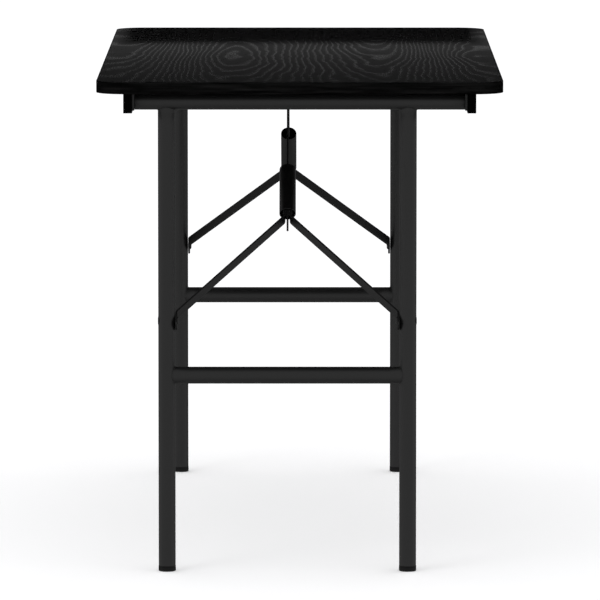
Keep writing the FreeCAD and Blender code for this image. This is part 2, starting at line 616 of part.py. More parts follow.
def make_brace(end_name, inward):
    elbow = f"({inward}) * elbow_reach"

    strip = new_part(f"{end_name}_brace_strip")
    strip_end = f"({BRACE_LENGTH} + strip_width / 2)"
    strip_start = "(elbow_reach - strip_tail)"
    block(strip, ("0", f"({inward}) * ({strip_start} + {strip_end}) / 2", "0"),
          ("bar_thick", f"{strip_end} - {strip_start}", "strip_width"))
    round_edges(strip, "strip_width / 2 - fit_gap", along("x"))
    rod(strip, "x", ("0", elbow, "0"), "rivet_diameter + 2 * running_gap", "2 * bar_thick",
        cut=True)
    rod(strip, "x", ("0", f"({inward}) * {BRACE_LENGTH}", "0"),
        "rivet_diameter + 2 * running_gap", "2 * bar_thick", cut=True)
    place_on_brace(strip, inward)

    for name, side in SIDES:
        make_arm(end_name, inward, name, side)

    elbow_rivet = new_part(f"{end_name}_elbow_rivet")
    outside = f"({ARM_FACE} + bar_thick)"
    rod(elbow_rivet, "x", ("0", elbow, "0"), "rivet_diameter", f"2 * {outside}")
    washers = new_part(f"{end_name}_elbow_washers")
    tab_rivets = new_part(f"{end_name}_arm_rivets")
    tab_outer = f"({LEG_FACE} - tab_gap)"
    for _, side in SIDES:
        rod(elbow_rivet, "x", (f"({side}) * ({outside} + elbow_head_thick / 2)", elbow, "0"),
            "elbow_head", "elbow_head_thick")
        centre = (f"({side}) * ({ARM_FACE} - (arm_gap - fit_gap) / 2)", elbow, "0")
        rod(washers, "x", centre, "washer_diameter", "arm_gap - fit_gap")
        rod(washers, "x", centre, "rivet_diameter + 2 * fit_gap", f"arm_gap + {OVERSHOOT}",
            cut=True)
        rod(tab_rivets, "x", (f"({side}) * ({tab_outer} - bar_thick / 2)", "0", "0"),
            "rivet_diameter", "bar_thick")
        head = f"({side}) * ({tab_outer} - bar_thick - rivet_head_thick / 2)"
        rod(tab_rivets, "x", (head, "0", "0"), "rivet_head", "rivet_head_thick")
    for body in (elbow_rivet, washers, tab_rivets):
        place_on_brace(body, inward)

    sleeve = new_part(f"{end_name}_lock_sleeve")
    middle = f"({inward}) * (elbow_reach - sleeve_cover + sleeve_length / 2)"
    hollow(sleeve, "y", ("0", middle, "0"), f"{SLEEVE_BORE} + 2 * sleeve_wall", "sleeve_wall",
           "sleeve_length")
    place_on_brace(sleeve, inward)


# ---------------------------------------------------------------- the whole table
make_top()
for side_name, side_sign in SIDES:
    make_rail(side_name, side_sign)
make_rail_fasteners()
make_bracket_fasteners()
for end_label, end_sign in ENDS:
    for side_name, side_sign in SIDES:
        make_rail_plug(end_label, end_sign, side_name, side_sign)
        make_pivot_plate(end_label, end_sign, side_name, side_sign)
    make_brace_bracket(end_label, end_sign)
    make_leg_set(end_label, end_sign)
    make_brace(end_label, end_sign)
doc.recompute()

for item in doc.Objects:
    if {"Invalid", "Error"} & set(item.State):
        raise RuntimeError(f"{item.Label} failed: {item.State}")
for part in SUB_PARTS:
    if part.Shape.isNull() or not part.Shape.isValid():
        raise RuntimeError(f"{part.Label} has no valid shape")

os.makedirs("parts", exist_ok=True)
for part in SUB_PARTS:
    part.Shape.exportStep(f"parts/{part.Label}.step")
    print(f"{part.Label}: {len(part.Shape.Solids)} solids, {part.Shape.Volume / 1000:.2f} cm3")
print(f"{len(SUB_PARTS)} sub-parts")
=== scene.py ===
# %% [markdown]
# # A black folding table
# The CAD model gives every piece its place and size, in metres, with the floor at z = 0 and the
# middle of the top over the origin. This lesson gives the pieces their looks: rounded edges,
# weld beads, domed rivets, and the finishes of laminate, powder coat, plastic and zinc.

# %% Load the frame
import json
import math

import bmesh
import bpy
from mathutils import Matrix, Vector

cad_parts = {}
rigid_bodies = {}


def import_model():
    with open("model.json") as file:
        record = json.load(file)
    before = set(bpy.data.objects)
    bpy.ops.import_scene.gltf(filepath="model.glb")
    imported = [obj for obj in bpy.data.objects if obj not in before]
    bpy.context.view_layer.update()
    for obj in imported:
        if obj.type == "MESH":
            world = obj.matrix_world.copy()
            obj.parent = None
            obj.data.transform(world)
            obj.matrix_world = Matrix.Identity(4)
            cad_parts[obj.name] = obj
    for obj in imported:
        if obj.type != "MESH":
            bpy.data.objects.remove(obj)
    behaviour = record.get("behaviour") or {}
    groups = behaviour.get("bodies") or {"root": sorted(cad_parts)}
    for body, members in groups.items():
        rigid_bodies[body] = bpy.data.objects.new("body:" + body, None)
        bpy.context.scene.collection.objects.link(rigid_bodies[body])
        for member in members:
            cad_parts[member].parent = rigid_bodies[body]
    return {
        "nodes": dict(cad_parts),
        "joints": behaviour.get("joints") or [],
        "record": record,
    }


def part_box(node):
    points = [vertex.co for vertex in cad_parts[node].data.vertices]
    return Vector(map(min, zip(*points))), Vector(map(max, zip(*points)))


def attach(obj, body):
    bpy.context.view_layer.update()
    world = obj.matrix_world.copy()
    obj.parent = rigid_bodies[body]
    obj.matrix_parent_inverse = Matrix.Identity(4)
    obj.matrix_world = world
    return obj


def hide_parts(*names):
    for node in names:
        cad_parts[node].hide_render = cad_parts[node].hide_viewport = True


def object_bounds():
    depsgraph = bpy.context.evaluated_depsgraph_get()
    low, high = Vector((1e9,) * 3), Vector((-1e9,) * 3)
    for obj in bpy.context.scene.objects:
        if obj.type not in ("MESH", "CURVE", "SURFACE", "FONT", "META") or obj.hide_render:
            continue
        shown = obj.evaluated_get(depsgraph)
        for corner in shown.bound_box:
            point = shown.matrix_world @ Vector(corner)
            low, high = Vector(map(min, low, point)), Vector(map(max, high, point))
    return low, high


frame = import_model()
cad_low, cad_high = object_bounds()
scene = bpy.context.scene
MM = 0.001
ENDS = {"front": 1, "rear": -1}  # the sign points from that end to the middle of the table
SIDES = {"left": -1, "right": 1}
print("table size", [round(c, 4) for c in cad_high - cad_low])

# %% [markdown]
# ## Camera and studio
# Product views of furniture are taken from far away with a long lens, so that upright legs stay
# upright. The camera looks at a short end of the table from a little above the top.

# %% Camera
camera_data = bpy.data.cameras.new("camera")
camera_data.lens = 414.7
camera_data.clip_end = 100
camera = bpy.data.objects.new("camera", camera_data)
camera.location = (0.0076, -10.836, 1.5032)
camera.rotation_euler = (math.radians(90 - 6.09), 0, 0.0007)
scene.collection.objects.link(camera)
scene.camera = camera
scene.view_settings.view_transform = "Standard"

# %% [markdown]
# White surroundings light the table evenly. They are kept out of the gloss, because black
# laminate seen at a low angle would mirror them and turn grey. Gloss gets two sources of its
# own further down: a dome that only the frame mirrors, and a narrow card behind the top.

# %% World and floor
world = bpy.data.worlds.new("studio")
world.use_nodes = True
world.node_tree.nodes["Background"].inputs["Color"].default_value = (1, 1, 1, 1)
world.node_tree.nodes["Background"].inputs["Strength"].default_value = 1.0
world.cycles_visibility.glossy = False
scene.world = world


def flat_quad(name, width, length, matrix):
    """A single face, for the floor and the cards of the studio."""
    bm = bmesh.new()
    bmesh.ops.create_grid(bm, x_segments=1, y_segments=1, size=0.5)
    bmesh.ops.scale(bm, vec=(width, length, 1), verts=bm.verts)
    bmesh.ops.transform(bm, matrix=matrix, verts=bm.verts)
    mesh = bpy.data.meshes.new(name)
    bm.to_mesh(mesh)
    bm.free()
    quad = bpy.data.objects.new(name, mesh)
    scene.collection.objects.link(quad)
    return quad


floor = flat_quad("floor", 60, 60, Matrix.Translation((0, 0, -0.0005)))
floor.visible_glossy = False
floor_paint = bpy.data.materials.new("floor_paint")
floor_paint.use_nodes = True
floor_shader = floor_paint.node_tree.nodes["Principled BSDF"]
floor_shader.inputs["Base Color"].default_value = (0.85, 0.85, 0.86, 1)
floor_shader.inputs["Roughness"].default_value = 1
floor_shader.inputs["Specular IOR Level"].default_value = 0
floor_shader.inputs["Emission Color"].default_value = (1, 1, 1, 1)
floor_shader.inputs["Emission Strength"].default_value = 0.22
floor.data.materials.append(floor_paint)

# %% [markdown]
# ## Shader maths in Python
# A material is a small program. The class below lets it be written as one: `a * b + 0.5` adds
# the Math nodes, and `add` makes every other kind of node.


# %% One class for node graphs
class Value:
    """An output socket of a material, with operators that add Math nodes."""

    def __init__(self, tree, socket=None):
        self.tree, self.socket = tree, socket

    def add(self, kind, inputs=None, settings=None, output=0):
        """Make a node: its settings first, then the values or links of its sockets."""
        node = self.tree.nodes.new(kind)
        for name, setting in (settings or {}).items():
            if name == "interpolation":
                node.color_ramp.interpolation = setting
            elif name == "stops":
                ramp = node.color_ramp
                while len(ramp.elements) < len(setting):
                    ramp.elements.new(0.5)
                for element, (place, level) in zip(ramp.elements, setting):
                    element.position = place
                    element.color = (level, level, level, 1)
            else:
                setattr(node, name, setting)
        for name, value in (inputs or {}).items():
            if isinstance(value, Value):
                self.tree.links.new(value.socket, node.inputs[name])
            else:
                node.inputs[name].default_value = value
        return Value(self.tree, node.outputs[output])

    def math(self, operation, *values):
        return self.add("ShaderNodeMath", dict(enumerate(values)), {"operation": operation})

    def __add__(self, other):
        return self.math("ADD", self, other)

    def __sub__(self, other):
        return self.math("SUBTRACT", self, other)

    def __rsub__(self, other):
        return self.math("SUBTRACT", other, self)

    def __mul__(self, other):
        return self.math("MULTIPLY", self, other)

    def __truediv__(self, other):
        return self.math("DIVIDE", self, other)

    __radd__ = __add__
    __rmul__ = __mul__

    def mixed(self, low, high):
        """A colour between two colours, by this value."""
        inputs = {0: self, 6: low, 7: high}
        return self.add("ShaderNodeMix", inputs, {"data_type": "RGBA"}, output=2)

    def between(self, low, high):
        """This value from 0 to 1 as a value from low to high."""
        return self * (high - low) + low


def new_material(name, **fixed):
    """A material with a Principled shader whose constant sockets are set on the shader."""
    material = bpy.data.materials.new(name)
    material.use_nodes = True
    shader = material.node_tree.nodes["Principled BSDF"]
    for socket, value in fixed.items():
        shader.inputs[socket.replace("_", " ")].default_value = value
    return material, Value(material.node_tree), shader


def feed(shader, **links):
    for socket, value in links.items():
        value.tree.links.new(value.socket, shader.inputs[socket.replace("_", " ")])


def position(start):
    """Object coordinates, in metres because every piece lies at the origin."""
    return start.add("ShaderNodeTexCoord", output=3)


def stretched(place, scale):
    """A place with its axes scaled, so that a pattern is drawn out along an axis."""
    settings = {"operation": "MULTIPLY"}
    return place.add("ShaderNodeVectorMath", {0: place, 1: scale}, settings)


def noise(place, scale, detail=2.0, roughness=0.5):
    inputs = {"Vector": place, "Scale": scale, "Detail": detail, "Roughness": roughness}
    return place.add("ShaderNodeTexNoise", inputs)


def bump(height, distance, strength=1.0):
    inputs = {"Height": height, "Distance": distance, "Strength": strength}
    return height.add("ShaderNodeBump", inputs)


# %% [markdown]
# ## Black wood-grain laminate
# The top is a printed and pressed laminate of plain-sawn ash. The lines of such a board are
# contours of a height map: its hearts are long valleys and ridges, side by side. Along a valley
# the height rises both ways from one place, which closes the lines into ovals; along a ridge it
# rises one way only, which leaves nested arches. Noise drawn out along the wood bends them, and
# there is a line between each whole number and the next. The dark ground and the lines differ in
# colour and in how much of the clear coat shows.

# %% Grain lines
HEARTS = ((-0.267, 1), (-0.103, 0), (0.126, 1), (0.282, 0))  # across the top; 0 is a valley
RINGS = 17.0  # growth rings between a valley and a ridge
OVAL_Y = -0.06  # where the ovals lie along the top
RISE = 6.5  # rings per metre along the hearts


def rounded_distance(value, radius):
    """The distance from 0, with its point rounded off."""
    return (value * value + radius * radius).math("SQRT", value * value + radius * radius)


def grain_height(place):
    """The number of growth rings at a point of the top."""
    axes = place.add("ShaderNodeSeparateXYZ", {0: place})
    across, along = axes, Value(place.tree, axes.socket.node.outputs[1])
    drift = noise(stretched(place, (1, 0.4, 1)), 5.0, detail=1.0)
    wander = noise(stretched(place, (1, 0.22, 1)), 14.0, detail=1.0)
    tremble = noise(stretched(place, (1.6, 1, 1)), 11.0, detail=1.5)
    stops = tuple((x + 0.5, level) for x, level in HEARTS)
    ridge = across.add("ShaderNodeValToRGB", {"Fac": across + 0.5 + (drift - 0.5) * 0.04},
                       {"stops": stops, "interpolation": "EASE"}) * 2 - 1
    valley = ridge * -1
    rise = rounded_distance(along - OVAL_Y, 0.05) * valley.math("MAXIMUM", valley, 0.0)
    rise = rise + along * ridge.math("MAXIMUM", ridge, 0.0)
    height = ridge * (RINGS / 2) + rise * RISE
    return height + (drift - 0.5) * 3.0 + (wander - 0.5) * 2.2 + tremble - 0.5


def laminate():
    material, start, shader = new_material("black_laminate", Coat_Roughness=0.04, Coat_IOR=1.5,
                                           Specular_IOR_Level=0.0)
    place = position(start)
    rings = grain_height(place)
    phase = rings.math("FRACT", rings)
    line = phase.add("ShaderNodeValToRGB", {"Fac": phase}, {"stops": (
        (0.0, 0.15), (0.12, 0.0), (0.50, 0.0), (0.68, 0.45), (0.80, 1.0), (0.92, 1.0),
        (1.0, 0.15))})
    pores = noise(stretched(place, (1, 0.02, 1)), 700.0, detail=2.0)
    pores = pores.add("ShaderNodeMapRange", {"Value": pores, 1: 0.35, 2: 0.65})
    patches = noise(stretched(place, (1, 0.3, 1)), 14.0, detail=3.0)
    ink = line * pores.between(0.8, 1.0) * patches.between(0.45, 1.35) + pores * 0.08
    colour = ink.mixed((0.0058, 0.0058, 0.0059, 1), (0.013, 0.013, 0.0133, 1))
    feed(shader, Base_Color=colour, Roughness=ink.between(0.50, 0.35),
         Coat_Weight=ink.between(0.40, 1.05), Normal=bump(ink, 0.0000015, 0.4))
    return material


LAMINATE = laminate()
print("laminate nodes", len(LAMINATE.node_tree.nodes))

# %% [markdown]
# ## Edge band
# The band round the top is the same print on a strip of plastic. Its grain runs along the strip,
# so the noise is drawn out in both level directions and tight from top to bottom.

# %% Edge band


def edge_band_finish():
    material, start, shader = new_material("edge_band", IOR=1.48)
    place = position(start)
    streaks = noise(stretched(place, (0.1, 0.1, 4.2)), 170.0, detail=4.0, roughness=0.6)
    streaks = streaks.add("ShaderNodeMapRange", {"Value": streaks, 1: 0.42, 2: 0.72})
    fine = noise(stretched(place, (0.2, 0.2, 8.0)), 220.0, detail=2.0)
    ink = streaks * fine.between(0.5, 1.2)
    colour = ink.mixed((0.0009, 0.0009, 0.0010, 1), (0.0105, 0.0100, 0.0100, 1))
    feed(shader, Base_Color=colour, Roughness=ink.between(0.42, 0.55),
         Normal=bump(streaks, 0.00003, 0.3))
    return material


EDGE_BAND = edge_band_finish()

# %% [markdown]
# ## Powder coat, plastic, zinc, board and backing
# Powder coat melts into a skin with a faint orange peel. Moulded plastic is duller and has a
# spark-eroded grain. Blackened zinc plate is dark with cloudy spangles. Particle board shows
# chips. The flat strips of the braces mirror less than the tubes, and the lock sleeves are
# smoother than the feet.

# %% The other finishes
COAT_LEVEL = 0.0062
COAT_ROUGHNESS = 0.36


def powder_coat(name, mirror=0.5):
    material, start, shader = new_material(name, IOR=1.45, Specular_IOR_Level=mirror)
    place = position(start)
    peel = noise(place, 850.0, detail=2.0)
    cloud = noise(place, 22.0, detail=2.0)
    dust = noise(place, 2600.0, detail=1.0)
    low, high = COAT_LEVEL * 0.88, COAT_LEVEL * 1.10
    colour = (cloud * 0.6 + dust * 0.4).mixed((low, low, low, 1), (high, high, high * 1.02, 1))
    roughness = (cloud * 0.5 + peel * 0.5).between(COAT_ROUGHNESS - 0.06, COAT_ROUGHNESS + 0.10)
    feed(shader, Base_Color=colour, Roughness=roughness,
         Normal=bump(peel * 0.7 + dust * 0.3, 0.00003, 0.35))
    return material


def moulded_plastic(name, gloss=0.45, mirror=0.3):
    material, start, shader = new_material(name, IOR=1.46, Specular_IOR_Level=mirror)
    place = position(start)
    grain = noise(place, 1800.0, detail=3.0)
    flow = noise(stretched(place, (1, 1, 0.3)), 60.0, detail=2.0)
    colour = flow.mixed((0.0005, 0.0005, 0.0005, 1), (0.0012, 0.0012, 0.0012, 1))
    feed(shader, Base_Color=colour, Roughness=grain.between(gloss, gloss + 0.2),
         Normal=bump(grain, 0.00003, 0.4))
    return material


def black_zinc():
    material, start, shader = new_material("black_zinc", Metallic=1.0)
    place = position(start)
    cells = place.add("ShaderNodeTexVoronoi", {"Vector": place, "Scale": 420.0}, output=0)
    cloud = noise(place, 160.0, detail=3.0)
    tone = cells * 0.4 + cloud * 0.6
    colour = tone.mixed((0.020, 0.020, 0.021, 1), (0.055, 0.054, 0.052, 1))
    feed(shader, Base_Color=colour, Roughness=cloud.between(0.30, 0.50),
         Normal=bump(cells, 0.00002, 0.2))
    return material


def particle_board():
    material, start, shader = new_material("particle_board", Specular_IOR_Level=0.2)
    place = position(start)
    chips = place.add("ShaderNodeTexVoronoi", {"Vector": stretched(place, (1, 1, 2.5)),
                                               "Scale": 380.0, "Randomness": 1.0}, output=1)
    shade = chips.add("ShaderNodeRGBToBW", {0: chips})
    fibre = noise(place, 900.0, detail=3.0)
    tone = shade * 0.6 + fibre * 0.4
    colour = tone.mixed((0.16, 0.10, 0.055, 1), (0.48, 0.34, 0.20, 1))
    feed(shader, Base_Color=colour, Roughness=fibre.between(0.75, 0.95),
         Normal=bump(tone, 0.0001, 0.6))
    return material


def backing_sheet():
    material, start, shader = new_material("backing_sheet", Specular_IOR_Level=0.3)
    place = position(start)
    weave = noise(stretched(place, (1, 0.25, 1)), 700.0, detail=3.0)
    cloud = noise(place, 12.0, detail=3.0)
    colour = (weave * 0.4 + cloud * 0.6).mixed((0.010, 0.0095, 0.009, 1),
                                               (0.022, 0.021, 0.020, 1))
    feed(shader, Base_Color=colour, Roughness=weave.between(0.62, 0.82),
         Normal=bump(weave, 0.00003, 0.4))
    return material


FINISHES = {
    "laminate": LAMINATE, "edge_band": EDGE_BAND, "powder_coat": powder_coat("powder_coat"),
    "black_plastic": moulded_plastic("black_plastic"), "zinc_steel": black_zinc(),
    "core": particle_board(), "backer": backing_sheet(),
}
STRIP_COAT = powder_coat("strip_coat", mirror=0.31)
SLEEVE_PLASTIC = moulded_plastic("sleeve_plastic", gloss=0.28, mirror=0.5)
SLOT_OF = {part["node"]: part["material_slot"] for part in frame["record"]["subparts"]}
BODY_OF = {node: body for body, nodes in frame["record"]["behaviour"]["bodies"].items()
           for node in nodes}

# %% [markdown]
# ## Making pieces
# Every piece ends the same way: its faces point outwards, it is shaded smooth up to its real
# edges, it takes the finish of the CAD node that it stands for, and it rides on that node's body.

# %% Helpers for pieces


def finished(name, bm, node, sharp=35, finish=None):
    """Turn a bmesh into a piece that stands for a CAD node."""
    bmesh.ops.recalc_face_normals(bm, faces=bm.faces)
    mesh = bpy.data.meshes.new(name)
    bm.to_mesh(mesh)
    bm.free()
    mesh.shade_smooth()
    mesh.set_sharp_from_angle(angle=math.radians(sharp))
    piece = bpy.data.objects.new(name, mesh)
    scene.collection.objects.link(piece)
    mesh.materials.append(finish or FINISHES[SLOT_OF[node]])
    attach(piece, BODY_OF[node])
    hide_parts(node)
    return piece


def turned(outline, closed=False, segments=72):
    """Spin an outline of (radius, height) points round the Z axis."""
    bm = bmesh.new()
    verts = [bm.verts.new((radius, 0, height)) for radius, height in outline]
    pairs = list(zip(verts, verts[1:])) + ([(verts[-1], verts[0])] if closed else [])
    edges = [bm.edges.new(pair) for pair in pairs]
    bmesh.ops.spin(bm, geom=verts + edges, cent=(0, 0, 0), axis=(0, 0, 1),
                   angle=math.tau, steps=segments, use_merge=True)
    bmesh.ops.remove_doubles(bm, verts=bm.verts, dist=1e-7)
    return bm


def aim(bm, start, direction, verts=None):
    """Stand a shape that was made along Z on a point, pointing along a direction."""
    turn = Vector(direction).to_track_quat("Z", "Y").to_matrix().to_4x4()
    bmesh.ops.transform(bm, matrix=Matrix.Translation(start) @ turn, verts=verts or bm.verts)
    return bm


def soften(bm, width, segments=2, angle=40):
    """Bevel every edge that is sharper than an angle."""
    edges = [e for e in bm.edges if len(e.link_faces) == 2
             and e.calc_face_angle(0) > math.radians(angle)]
    bmesh.ops.bevel(bm, geom=edges, offset=width, segments=segments, affect="EDGES",
                    profile=0.5, material=-1, clamp_overlap=True)
    return bm


def join(bm, other):
    """Add a second shape to the first."""
    spare = bpy.data.meshes.new("spare")
    other.to_mesh(spare)
    other.free()
    bm.from_mesh(spare)
    bpy.data.meshes.remove(spare)
    return bm


def middle(node):
    low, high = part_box(node)
    return (low + high) / 2


# %% [markdown]
# ## Sheet metal and small parts
# Pressed and sheared parts keep the outline of the CAD part. A copy of its mesh is welded, its
# flat faces are joined up again, and a Bevel modifier breaks every sharp edge, as deburring does.

# %% Deburred copies


def deburred(node, width, segments=2):
    bm = bmesh.new()
    bm.from_mesh(frame["nodes"][node].data)
    bmesh.ops.remove_doubles(bm, verts=bm.verts, dist=1e-6)
    bmesh.ops.dissolve_limit(bm, angle_limit=math.radians(0.5), verts=bm.verts, edges=bm.edges)
    piece = finished(f"{node}_finished", bm, node, sharp=30,
                     finish=STRIP_COAT if "_arm_" in node else None)
    edge = piece.modifiers.new("broken_edges", "BEVEL")
    edge.width = width
    edge.segments = segments
    edge.limit_method = "ANGLE"
    edge.angle_limit = math.radians(40)
    edge.harden_normals = True
    return piece


EDGE_BREAKS = {"rail": 0.35, "pivot_plate": 0.4, "rail_plug": 0.6, "brace_bracket": 0.35,
               "arm_left": 0.45, "arm_right": 0.45, "brace_strip": 0.45, "pins": 0.4,
               "spacers": 0.3, "screws": 0.4, "plate_rivets": 0.4, "bearings": 0.3,
               "washers": 0.25, "top_core": 0.2, "top_backer": 0.1}
SPECIAL = ("laminate", "edge_band", "leg_left", "leg_right", "crossbar", "pivot_tube", "foot",
           "leg_rivets", "arm_rivets", "elbow_rivet", "lock_sleeve")
for node in frame["nodes"]:
    if not any(word in node for word in SPECIAL):
        width = next(w for word, w in EDGE_BREAKS.items() if word in node)
        deburred(node, width * MM)

# %% [markdown]
# ## The top
# The laminate is a thin sheet with round corners. The edge band is the wall of the same shape,
# made thick inwards, with its two outer edges rounded as a trimming cutter leaves them.

# %% Laminate sheet and edge band
CORNER = 0.044
BAND_ROUND = 0.0007


def rounded_block(low, high, radius, segments=20):
    """A box whose four upright edges are rounded."""
    bm = bmesh.new()
    bmesh.ops.create_cube(bm, size=1)
    bmesh.ops.scale(bm, vec=high - low, verts=bm.verts)
    bmesh.ops.translate(bm, vec=(low + high) / 2, verts=bm.verts)
    upright = [e for e in bm.edges if abs((e.verts[0].co - e.verts[1].co).normalized().z) > 0.9]
    bmesh.ops.bevel(bm, geom=upright, offset=radius, segments=segments, affect="EDGES",
                    profile=0.5, material=-1)
    return bm


def laminate_sheet():
    low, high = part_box("top_laminate")
    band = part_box("edge_band")[1].x - high.x
    return finished("laminate_sheet", rounded_block(low, high, CORNER - band), "top_laminate")


def edge_band():
    low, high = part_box("edge_band")
    thickness = high.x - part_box("top_laminate")[1].x
    bm = rounded_block(low, high, CORNER)
    lids = [f for f in bm.faces if abs(f.normal.z) > 0.9]
    bmesh.ops.delete(bm, geom=lids, context="FACES_ONLY")
    bmesh.ops.solidify(bm, geom=bm.faces[:], thickness=thickness)
    bmesh.ops.recalc_face_normals(bm, faces=bm.faces)
    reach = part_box("top_laminate")[1]

    def outside(point):
        return abs(point.x) > reach.x + 1e-5 or abs(point.y) > reach.y + 1e-5

    rim = []
    for e in bm.edges:
        flat = abs(e.verts[0].co.z - e.verts[1].co.z) < 1e-6
        if flat and len(e.link_faces) == 2 and e.calc_face_angle(0) > 1.0:
            facing = [f for f in e.link_faces if abs(f.normal.z) < 0.5]
            centre = (e.verts[0].co + e.verts[1].co) / 2
            if facing and facing[0].normal.dot(Vector((centre.x, centre.y, 0))) > 0:
                rim.append(e)
    bmesh.ops.bevel(bm, geom=rim, offset=BAND_ROUND, segments=3, affect="EDGES",
                    profile=0.5, material=-1)
    print("edge band rim edges", len(rim))
    return finished("edge_band_wrap", bm, "edge_band")


laminate_sheet()
edge_band()

# %% [markdown]
# ## Tubes and welds
# A leg set is cut from one size of tube. Where a tube meets another at right angles its end is
# coped: every point of the rim is drawn back until it lies on the other tube. The end is also
# pressed a little flatter, so that it sits inside the width of the other tube. The same curve
# carries the weld bead, a thin ring with the ripples that a welding torch leaves.

# %% Tubes
TUBE_R = (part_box("front_crossbar")[1].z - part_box("front_crossbar")[0].z) / 2
WALL = 0.0012


def saddle(offset):
    """How far the surface of a tube stands out from its axis, at an offset across it."""
    return math.sqrt(max(TUBE_R ** 2 - min(abs(offset), TUBE_R * 0.9999) ** 2, 0))


PRESS_LENGTH = 0.018  # how far from its joint a tube is pressed flatter


def pressed(height, joint, flat):
    """The share of its depth that a tube keeps at a height, near a joint."""
    away = min(max((abs(height - joint) - TUBE_R) / PRESS_LENGTH, 0), 1)
    return flat + (1 - flat) * away * away * (3 - 2 * away)


def tube(length, cope_low=False, cope_high=False, flat=1.0):
    """A tube along Z from 0 to length. A coped end stops on a tube that lies along X."""
    steps = [PRESS_LENGTH * i / 6 + TUBE_R for i in range(7)]
    low = [0] + (steps if cope_low else [])
    high = ([length - s for s in reversed(steps)] if cope_high else []) + [length]
    levels = low + high
    outline = [(TUBE_R, z) for z in levels] + [(TUBE_R - WALL, z) for z in reversed(levels)]
    bm = turned(outline, closed=True)
    for vert in bm.verts:
        height = vert.co.z
        if cope_high and height > length / 2:
            vert.co.y *= pressed(height, length, flat)
        if cope_low and height < length / 2:
            vert.co.y *= pressed(height, 0, flat)
        if cope_high and height == levels[-1]:
            vert.co.z = length - saddle(vert.co.y)
        if cope_low and height == levels[0]:
            vert.co.z = saddle(vert.co.y)
    return bm


BEAD_R = 0.0007
RIPPLES = 30
BAR_FLAT = 0.80  # the ends of a crossbar keep this share of their depth
LEG_FLAT = 0.70  # and the upper ends of the legs this one


def weld_bead(flat):
    """A ring round Z whose centre line lies on a tube along X that passes above it at z = 0."""
    outline = [(TUBE_R + BEAD_R * math.cos(a), BEAD_R * math.sin(a))
               for a in (math.tau * i / 8 for i in range(8))]
    bm = turned(outline, closed=True, segments=156)
    for vert in bm.verts:
        turn = math.atan2(vert.co.y, vert.co.x)
        ripple = 1 + 0.16 * math.cos(RIPPLES * turn)
        middle_y = TUBE_R * math.sin(turn) * flat
        out = math.hypot(vert.co.x, vert.co.y) - TUBE_R
        vert.co.x = math.cos(turn) * (TUBE_R + out * ripple)
        vert.co.y = math.sin(turn) * (TUBE_R * flat + out * ripple)
        vert.co.z = vert.co.z * ripple - saddle(middle_y)
    return bm


def leg(end, side):
    node = f"{end}_leg_{side}"
    low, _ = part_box(node)
    axis = middle(node)
    pivot = middle(f"{end}_pivot_tube")
    start = Vector((axis.x, axis.y, low.z))
    bm = tube(pivot.z - low.z, cope_high=True, flat=LEG_FLAT)
    bmesh.ops.translate(bm, vec=start, verts=bm.verts)
    bead = weld_bead(LEG_FLAT)
    bmesh.ops.translate(bead, vec=(axis.x, axis.y, pivot.z), verts=bead.verts)
    return finished(f"{node}_tube", join(bm, bead), node)


def crossbar(end):
    node = f"{end}_crossbar"
    centre = middle(node)
    left, right = (middle(f"{end}_leg_{side}").x for side in SIDES)
    bm = tube(right - left, cope_low=True, cope_high=True, flat=BAR_FLAT)
    for level, flip in ((right - left, 1), (0, -1)):
        bead = weld_bead(BAR_FLAT)
        bmesh.ops.scale(bead, vec=(1, 1, flip), verts=bead.verts)
        bmesh.ops.translate(bead, vec=(0, 0, level), verts=bead.verts)
        join(bm, bead)
    turn = Matrix(((0, 0, 1), (0, 1, 0), (-1, 0, 0))).to_4x4()
    bmesh.ops.transform(bm, matrix=turn, verts=bm.verts)
    bmesh.ops.translate(bm, vec=(left, centre.y, centre.z), verts=bm.verts)
    return finished(f"{node}_tube", bm, node)


def pivot_tube(end):
    node = f"{end}_pivot_tube"
    low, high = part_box(node)
    centre = middle(node)
    bm = soften(tube(high.x - low.x), 0.3 * MM)
    aim(bm, (low.x, centre.y, centre.z), (1, 0, 0))
    return finished(f"{node}_bar", bm, node)


for end in ENDS:
    pivot_tube(end)
    crossbar(end)
    for side in SIDES:
        leg(end, side)

# %% [markdown]
# ## Feet, rivets and lock sleeves
# Everything round is turned: its half outline is spun about its axis. A foot cap has a soft lower
# edge and a shadow groove. A rivet has a domed head. The sleeve has rolled rims.

# %% Feet


def arc(centre, radius, start, stop, steps=6):
    """Points of an arc in an outline, between two angles in degrees."""
    angles = [math.radians(start + (stop - start) * i / steps) for i in range(steps + 1)]
    return [(centre[0] + radius * math.cos(a), centre[1] + radius * math.sin(a)) for a in angles]


def foot(end, side):
    node = f"{end}_foot_{side}"
    low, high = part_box(node)
    radius = (high.x - low.x) / 2
    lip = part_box(f"{end}_leg_{side}")[0].z - low.z
    inside = TUBE_R - WALL - 0.1 * MM
    round_r, groove = 1.2 * MM, 0.35 * MM
    outline = [(0, 0.8 * MM), (radius * 0.55, 0.8 * MM), (radius * 0.60, 0)]
    outline += arc((radius - round_r, round_r), round_r, -90, 0)
    outline += [(radius, lip - 2.2 * MM), (radius - groove, lip - 1.9 * MM),
                (radius - groove, lip - 1.5 * MM), (radius, lip - 1.2 * MM)]
    outline += arc((radius - 0.4 * MM, lip - 0.4 * MM), 0.4 * MM, 0, 90, 3)
    outline += [(inside, lip), (inside, high.z - 1 * MM), (inside - 1 * MM, high.z), (0, high.z)]
    bm = turned(outline)
    bmesh.ops.translate(bm, vec=(middle(node).x, middle(node).y, low.z), verts=bm.verts)
    return finished(f"{node}_cap", bm, node)


for end in ENDS:
    for side in SIDES:
        foot(end, side)

# %% Rivets
BAR_THICK = 3 * MM
ARM_HEAD_THICK = 2.5 * MM
ELBOW_HEAD_THICK = 1.8 * MM


